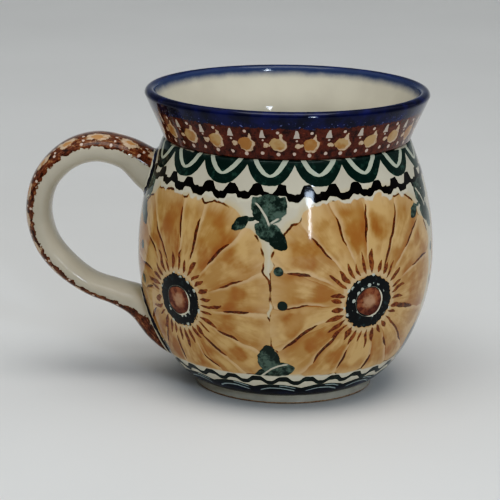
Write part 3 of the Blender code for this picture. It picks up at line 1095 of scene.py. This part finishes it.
def make_floor():
    mesh = bpy.data.meshes.new("floor")
    curve = arc((900.0, 700.0), 700.0, -90, 0, 24)
    rows = np.vstack([[(-1400.0, 0.0)], curve, [(1600.0, 2200.0)]])
    half = 2200.0
    vertices = [(side, y, z) for y, z in rows for side in (-half, half)]
    faces = [[2 * i, 2 * i + 1, 2 * i + 3, 2 * i + 2] for i in range(len(rows) - 1)]
    mesh.from_pydata((np.array(vertices) * MM).tolist(), [], faces)
    mesh.shade_smooth()
    floor = bpy.data.objects.new("floor", mesh)
    bpy.context.scene.collection.objects.link(floor)
    material, shader = start_material("pale_floor")
    place = object_place()
    _, _, height = parts_of(place)
    shade = mix(rgb(214, 214, 211), rgb(219, 219, 216), step(noise(place, 6.0, 3.0), -0.3, 0.3))
    # Darker up the backdrop's wall: painted shade for the light falling off towards the top.
    shade = mix(shade, rgb(166, 170, 173), step(height, 0.0, 0.45))
    feed(shader.inputs["Base Color"], shade)
    shader.inputs["Roughness"].default_value = 0.6
    mesh.materials.append(material)


def add_area_light(name, location, target, size, power, colour=(1, 1, 1)):
    light = bpy.data.lights.new(name, "AREA")
    light.shape = "RECTANGLE"
    light.size, light.size_y = size[0] * MM, size[1] * MM
    light.energy = power
    light.color = colour
    lamp = bpy.data.objects.new(name, light)
    lamp.location = Vector(location) * MM
    lamp.rotation_euler = (Vector(target) - Vector(location)).to_track_quat("-Z", "Y").to_euler()
    bpy.context.scene.collection.objects.link(lamp)


def make_lights():
    """A broad soft light overhead, a room that is darker in front, and a window that shows in the glaze."""
    middle = (AXIS_X, 0, 45)
    add_area_light("ceiling", (AXIS_X, -350, 1500), middle, (1300, 900), 12.5)
    add_area_light("window_strip", (AXIS_X + 400, -1130, 340), middle, (36, 360), 2.0, (0.85, 0.92, 1.0))
    add_area_light("window_top", (AXIS_X + 385, -1060, 505), middle, (120, 130), 1.9, (0.66, 0.8, 1.0))
    world = bpy.context.scene.world or bpy.data.worlds.new("World")
    bpy.context.scene.world = world
    world.use_nodes = True
    Wire.tree = world.node_tree
    background = world.node_tree.nodes["Background"]
    _, depth, upward = parts_of(Wire(add_node("ShaderNodeTexCoord").outputs["Generated"]))
    room = mix((0.05, 0.053, 0.057, 1), (0.36, 0.37, 0.38, 1), step(depth, -0.35, 0.75))
    room = mix(room, (0.62, 0.64, 0.66, 1), step(upward, 0.35, 0.8))
    feed(background.inputs["Color"], room)
    background.inputs["Strength"].default_value = 1.0


def make_camera():
    """The view of the photograph: handle to the left, looking down about 14 degrees, aimed beside the axis."""
    distance, height, aside = 738.2, 223.6, 11.19
    pitch = math.radians(13.8)
    data = bpy.data.cameras.new("camera")
    data.sensor_width = 36.0
    data.lens = 171.936
    data.clip_start = 0.05
    camera = bpy.data.objects.new("camera", data)
    camera.location = Vector((AXIS_X, -distance, height)) * MM
    target = Vector((AXIS_X - aside, 0, height - distance * math.tan(pitch))) * MM
    rotation = (target - camera.location).to_track_quat("-Z", "Y").to_matrix()
    roll = math.radians(0.6)
    camera.rotation_euler = (rotation @ Matrix.Rotation(roll, 3, "Z")).to_euler()
    bpy.context.scene.collection.objects.link(camera)
    bpy.context.scene.camera = camera


def set_tone():
    """The deep shadows of a small camera: the darkest tones are pressed down and the rest are kept."""
    settings = bpy.context.scene.view_settings
    settings.view_transform = "Standard"
    settings.use_curve_mapping = True
    curve = settings.curve_mapping.curves[3]
    for light, shown in ((0.01, 0.003), (0.04, 0.021), (0.09, 0.075), (0.17, 0.17), (0.5, 0.5)):
        curve.points.new(light, shown)
    settings.curve_mapping.update()


def dress(piece, material):
    piece.data.materials.append(material)


def make_vessel():
    dress(make_belly(), flower_glaze())
    dress(make_collar(), collar_glaze())
    dress(make_foot_ring(), foot_clay())
    dress(make_handle(), strap_glaze())


def make_joints():
    slip = joint_slip()
    rings, _, _ = strap_surface()
    half_way = len(rings) // 2
    upper_joint = make_joint("upper_joint_smoothed", rings[:half_way], "upper_handle_joint", 1.0)
    lower_joint = make_joint("lower_joint_smoothed", rings[:half_way:-1], "lower_handle_joint", 0.8)
    dress(upper_joint, slip)
    dress(lower_joint, slip)


make_camera()
make_lights()
make_floor()
make_vessel()
make_joints()
set_tone()
